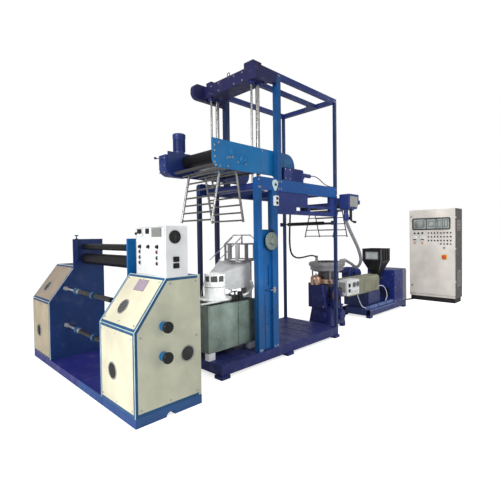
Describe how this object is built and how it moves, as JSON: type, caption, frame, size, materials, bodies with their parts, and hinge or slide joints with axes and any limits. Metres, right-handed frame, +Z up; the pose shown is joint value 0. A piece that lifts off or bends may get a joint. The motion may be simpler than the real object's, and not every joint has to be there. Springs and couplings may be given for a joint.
{
  "type": "plastic film making machine",
  "caption": "Blown film line: winder, haul-off tower with sliding nip carriage, water bath, extruder with hopper and air ring, and a control cabinet.",
  "frame": {"origin": "floor level at the near left foot of the tower base", "axes": "+X along the line from the winder to the cabinet, +Y along the rollers away from the operator, +Z up"},
  "size_m": [7.659, 2.846, 3.498],
  "materials": {
    "air_hose": "matt",
    "air_ring": "satin",
    "barrel": "brushed",
    "barrel_cover": "satin",
    "bath_cowl": "satin",
    "blower": "satin",
    "box_controls": "matt",
    "bubble_cage": "brushed",
    "cabinet_body": "satin",
    "cabinet_door": "satin",
    "carriage_drive": "gloss",
    "carriage_frame": "gloss",
    "collapsing_frame": "polished",
    "control_box": "satin",
    "die_head": "brushed",
    "die_stand": "satin",
    "door_controls": "matt",
    "door_window": "clear green",
    "drive_lead": "matt",
    "extruder_base": "gloss",
    "fan_box": "satin",
    "far_housing": "gloss",
    "first_collapsing_frame": "brushed",
    "first_nip_roller_a": "matt",
    "first_nip_roller_b": "brushed",
    "floor_cable": "matt",
    "gearbox_housing": "gloss",
    "guide_rods": "polished",
    "guide_roller": "matt",
    "heater_lead_left": "gloss",
    "heater_lead_right": "gloss",
    "hopper": "satin",
    "housing_panels": "satin",
    "inflation_pipe": "matt",
    "lower_knob": "matt",
    "lower_roller": "matt",
    "lower_winding_shaft": "brushed",
    "mid_beams": "gloss",
    "mid_cross_frame": "satin",
    "near_housing": "gloss",
    "nip_frame": "satin",
    "nip_motor_box": "satin",
    "post_fittings": "satin",
    "rod_gantry": "gloss",
    "round_vents": "satin",
    "rubber_nip_roller": "matt",
    "sizing_ring": "gloss",
    "steel_nip_roller": "polished",
    "tank_pads": "satin",
    "top_frame": "gloss",
    "tower_base": "gloss",
    "tower_posts": "gloss",
    "twin_legs": "gloss",
    "upper_knob": "matt",
    "upper_roller": "matt",
    "upper_winding_shaft": "brushed",
    "water_tank": "clear green",
    "winder_base": "gloss"
  },
  "bodies": {
    "line": {"air_hose": "air_hose", "air_ring": "air_ring", "barrel": "barrel", "barrel_cover": "barrel_cover", "bath_cowl": "bath_cowl", "blower": "blower", "box_controls": "box_controls", "bubble_cage": "bubble_cage", "cabinet_body": "cabinet_body", "control_box": "control_box", "die_head": "die_head", "die_stand": "die_stand", "drive_lead": "drive_lead", "extruder_base": "extruder_base", "fan_box": "fan_box", "far_housing": "far_housing", "first_collapsing_frame": "first_collapsing_frame", "floor_cable": "floor_cable", "gearbox_housing": "gearbox_housing", "guide_rods": "guide_rods", "heater_lead_left": "heater_lead_left", "heater_lead_right": "heater_lead_right", "hopper": "hopper", "housing_panels": "housing_panels", "inflation_pipe": "inflation_pipe", "mid_beams": "mid_beams", "mid_cross_frame": "mid_cross_frame", "near_housing": "near_housing", "nip_frame": "nip_frame", "nip_motor_box": "nip_motor_box", "post_fittings": "post_fittings", "rod_gantry": "rod_gantry", "round_vents": "round_vents", "sizing_ring": "sizing_ring", "tank_pads": "tank_pads", "top_frame": "top_frame", "tower_base": "tower_base", "tower_posts": "tower_posts", "twin_legs": "twin_legs", "water_tank": "water_tank", "winder_base": "winder_base"},
    "upper_roller": {"upper_roller": "upper_roller"},
    "lower_roller": {"lower_roller": "lower_roller"},
    "upper_winding_shaft": {"upper_winding_shaft": "upper_winding_shaft"},
    "lower_winding_shaft": {"lower_winding_shaft": "lower_winding_shaft"},
    "upper_knob": {"upper_knob": "upper_knob"},
    "lower_knob": {"lower_knob": "lower_knob"},
    "carriage": {"carriage_frame": "carriage_frame", "carriage_drive": "carriage_drive", "collapsing_frame": "collapsing_frame"},
    "rubber_nip_roller": {"rubber_nip_roller": "rubber_nip_roller"},
    "steel_nip_roller": {"steel_nip_roller": "steel_nip_roller"},
    "guide_roller": {"guide_roller": "guide_roller"},
    "first_nip_roller_a": {"first_nip_roller_a": "first_nip_roller_a"},
    "first_nip_roller_b": {"first_nip_roller_b": "first_nip_roller_b"},
    "cabinet_door": {"cabinet_door": "cabinet_door", "door_window": "door_window", "door_controls": "door_controls"}
  },
  "joints": [
    {"name": "upper_roller_spin", "type": "hinge", "parent": "line", "child": "upper_roller", "pos_m": [-0.7, 1, 1.385], "axis": [0, 1, 0], "continuous": true},
    {"name": "lower_roller_spin", "type": "hinge", "parent": "line", "child": "lower_roller", "pos_m": [-0.68, 1, 1.24], "axis": [0, 1, 0], "continuous": true},
    {"name": "upper_winding_shaft_spin", "type": "hinge", "parent": "line", "child": "upper_winding_shaft", "pos_m": [-0.935, 1, 0.9], "axis": [0, 1, 0], "continuous": true},
    {"name": "lower_winding_shaft_spin", "type": "hinge", "parent": "line", "child": "lower_winding_shaft", "pos_m": [-0.935, 1, 0.47], "axis": [0, 1, 0], "continuous": true},
    {"name": "upper_knob_turn", "type": "hinge", "parent": "line", "child": "upper_knob", "pos_m": [-0.844, -0.257, 0.761], "axis": [0, 1, 0], "range_deg": [-150, 150]},
    {"name": "lower_knob_turn", "type": "hinge", "parent": "line", "child": "lower_knob", "pos_m": [-0.849, -0.257, 0.515], "axis": [0, 1, 0], "range_deg": [-150, 150]},
    {"name": "haul_off_height", "type": "slide", "parent": "line", "child": "carriage", "axis": [0, 0, 1], "range_m": [-0.1, 0.45]},
    {"name": "steel_nip_roller_spin", "type": "hinge", "parent": "carriage", "child": "steel_nip_roller", "pos_m": [0.402, 0.49, 2.335], "axis": [0, 1, 0], "continuous": true},
    {"name": "rubber_nip_roller_spin", "type": "hinge", "parent": "carriage", "child": "rubber_nip_roller", "pos_m": [0.25, 0.49, 2.4], "axis": [0, 1, 0], "continuous": true},
    {"name": "guide_roller_spin", "type": "hinge", "parent": "line", "child": "guide_roller", "pos_m": [2.132, 0.49, 1.66], "axis": [0, 1, 0], "continuous": true},
    {"name": "first_nip_roller_a_spin", "type": "hinge", "parent": "line", "child": "first_nip_roller_a", "pos_m": [2.6595, 0.49, 1.93], "axis": [0, 1, 0], "continuous": true},
    {"name": "first_nip_roller_b_spin", "type": "hinge", "parent": "line", "child": "first_nip_roller_b", "pos_m": [2.7205, 0.49, 1.93], "axis": [0, 1, 0], "continuous": true},
    {"name": "cabinet_door_hinge", "type": "hinge", "parent": "line", "child": "cabinet_door", "pos_m": [6.088, -0.467, 1.1], "axis": [0, 0, 1], "range_deg": [0, 110]}
  ],
  "couplings": [
    {"joint": "rubber_nip_roller_spin", "follows": "steel_nip_roller_spin", "ratio": -1},
    {"joint": "first_nip_roller_a_spin", "follows": "first_nip_roller_b_spin", "ratio": -1}
  ]
}
